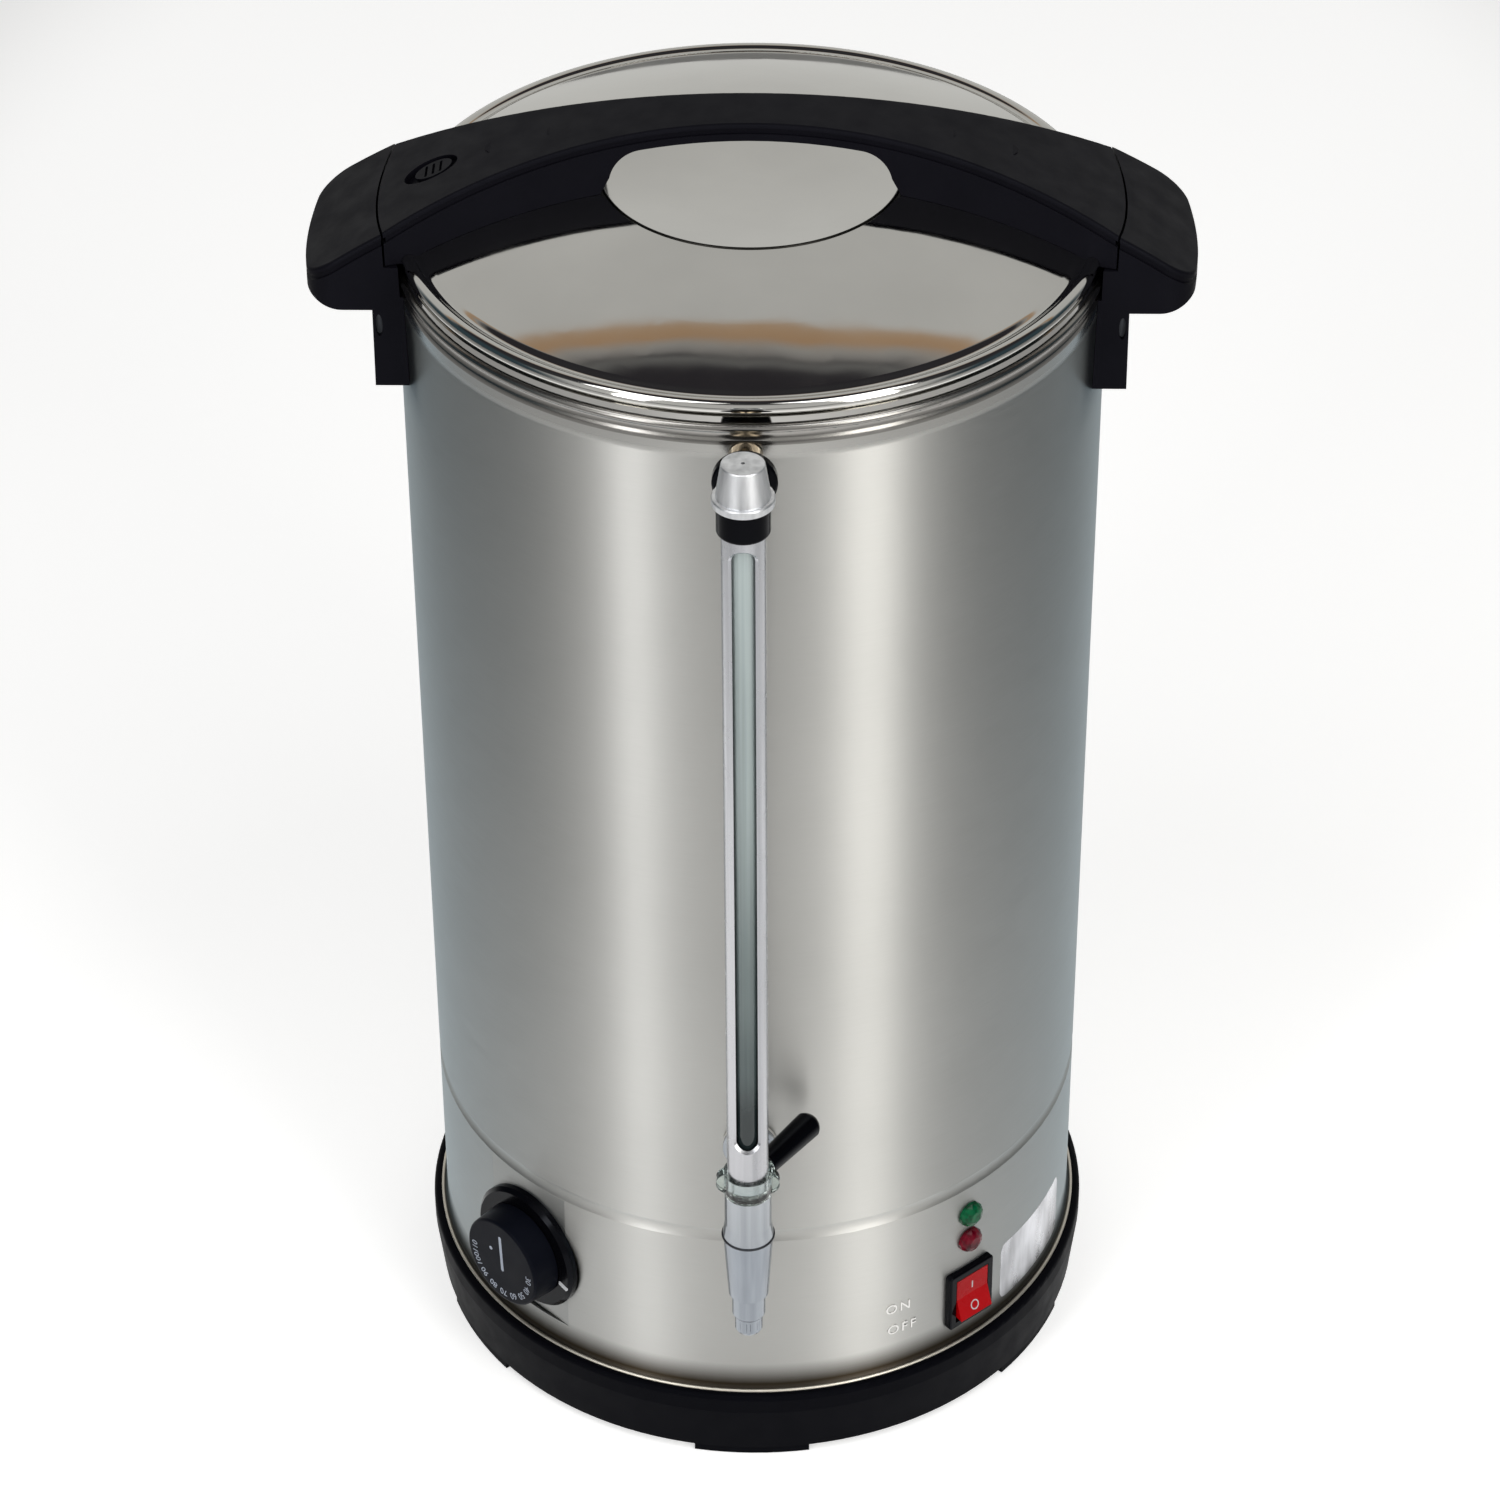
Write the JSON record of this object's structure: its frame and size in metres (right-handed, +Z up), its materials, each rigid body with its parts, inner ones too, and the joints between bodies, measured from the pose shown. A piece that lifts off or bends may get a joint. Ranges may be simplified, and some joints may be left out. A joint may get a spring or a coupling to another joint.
{
  "type": "hot water urn",
  "caption": "Tall round steel hot water urn with a sight-glass tap column, dial thermostat, rocker switch, two lamps and a lid whose arched handle runs on into the side handles.",
  "frame": {"origin": "on the tank's axis, at the level that the feet stand on", "axes": "+Z up along the tank's axis; the tap column stands on the -Y side, which is the front; +X is to the right seen from the front, and the side handles lie on the X axis"},
  "size_m": [0.3752, 0.3672, 0.6262],
  "materials": {
    "brushed_steel": "fine brushed stainless steel",
    "pan_steel": "drawn stainless steel",
    "polished_steel": "mirror polished stainless steel",
    "cover_steel": "zinc-plated sheet",
    "zinc_screws": "zinc plated",
    "spring_steel": "spring steel",
    "turned_steel": "turned steel",
    "element_steel": "heat-stained sheath",
    "spreader_aluminium": "plain rolled",
    "satin_aluminium": "satin anodised",
    "capillary_copper": "drawn copper tube",
    "nut_brass": "turned",
    "chrome": "bright chrome plate",
    "black_plastic": "fine satin black moulding",
    "black_gloss": "gloss black moulding",
    "control_plastic": "cream heat-resistant moulding",
    "cutout_plastic": "brown phenolic",
    "valve_ceramic": "white acetal",
    "red_plastic": "translucent red moulding",
    "green_lens": "faceted green lens",
    "red_lens": "faceted red lens",
    "clear_plastic": "clear moulding",
    "glass": "drawn borosilicate tube",
    "silicone": "translucent silicone",
    "rubber": "black rubber"
  },
  "bodies": {
    "urn": {"tank_shell": "brushed_steel", "tank_floor": "pan_steel", "base_ring": "black_plastic", "bottom_cover": "cover_steel", "bottom_cover_screws": "zinc_screws", "tie_studs": "zinc_screws", "tie_nuts": "zinc_screws", "heat_spreader": "spreader_aluminium", "boil_element": "element_steel", "keep_warm_element": "element_steel", "boil_dry_cutout": "cutout_plastic", "thermostat_body": "control_plastic", "thermostat_capillary": "capillary_copper", "dial_plate": "black_gloss", "dial_plate_screws": "zinc_screws", "switch_housing": "black_gloss", "lamp_green": "green_lens", "lamp_red": "red_lens", "lamp_clips": "spring_steel", "terminal_block": "control_plastic", "cord_gland": "black_plastic", "gland_nut": "black_plastic", "tap_body": "chrome", "tap_gasket_outer": "silicone", "tap_gasket_inner": "silicone", "tap_nut": "nut_brass", "valve_seat": "valve_ceramic", "spout": "chrome", "spout_seal": "rubber", "sight_glass": "glass", "sight_glass_seals": "silicone", "sight_guard": "satin_aluminium", "top_collar": "black_plastic", "top_cap": "satin_aluminium", "bracket_stud": "chrome", "bracket_nut": "nut_brass", "side_handle_left": "black_plastic", "side_handle_right": "black_plastic", "side_handle_screws": "zinc_screws", "handle_backing_left": "pan_steel", "handle_backing_right": "pan_steel"},
    "lid_seal_ring": {"lid_seal": "silicone"},
    "lid": {"lid_dome": "polished_steel", "lid_skirt": "polished_steel", "lid_handle": "black_plastic", "lid_handle_screws": "zinc_screws"},
    "lid_lock_slide": {"lid_lock": "black_gloss"},
    "tap_valve": {"valve_plug": "valve_ceramic", "lever_ring": "clear_plastic", "lever_core": "turned_steel", "tap_lever": "black_plastic"},
    "thermostat_dial": {"thermostat_spindle": "turned_steel", "thermostat_knob": "black_gloss"},
    "switch_rocker": {"rocker_switch": "red_plastic"}
  },
  "joints": [
    {"name": "lid_lift", "type": "slide", "parent": "urn", "child": "lid_seal_ring", "axis": [0, 0, 1], "range_m": [0, 0.12]},
    {"name": "lid_turn", "type": "hinge", "parent": "lid_seal_ring", "child": "lid", "pos_m": [0, 0, 0.5736], "axis": [0, 0, 1], "continuous": true},
    {"name": "lid_lock", "type": "slide", "parent": "lid", "child": "lid_lock_slide", "axis": [-0.9066, 0, -0.422], "range_m": [0, 0.0036]},
    {"name": "tap_lever", "type": "hinge", "parent": "urn", "child": "tap_valve", "pos_m": [0, -0.198, 0.2099], "axis": [0, 0, 1], "range_deg": [-90, 0]},
    {"name": "thermostat_dial", "type": "hinge", "parent": "urn", "child": "thermostat_dial", "pos_m": [-0.10267, -0.10669, 0.0885], "axis": [-0.6934, -0.7206, 0], "range_deg": [0, 270]},
    {"name": "power_rocker", "type": "hinge", "parent": "urn", "child": "switch_rocker", "pos_m": [0.09773, -0.11008, 0.0665], "axis": [0.7478, 0.6639, 0], "range_deg": [0, 18]}
  ]
}
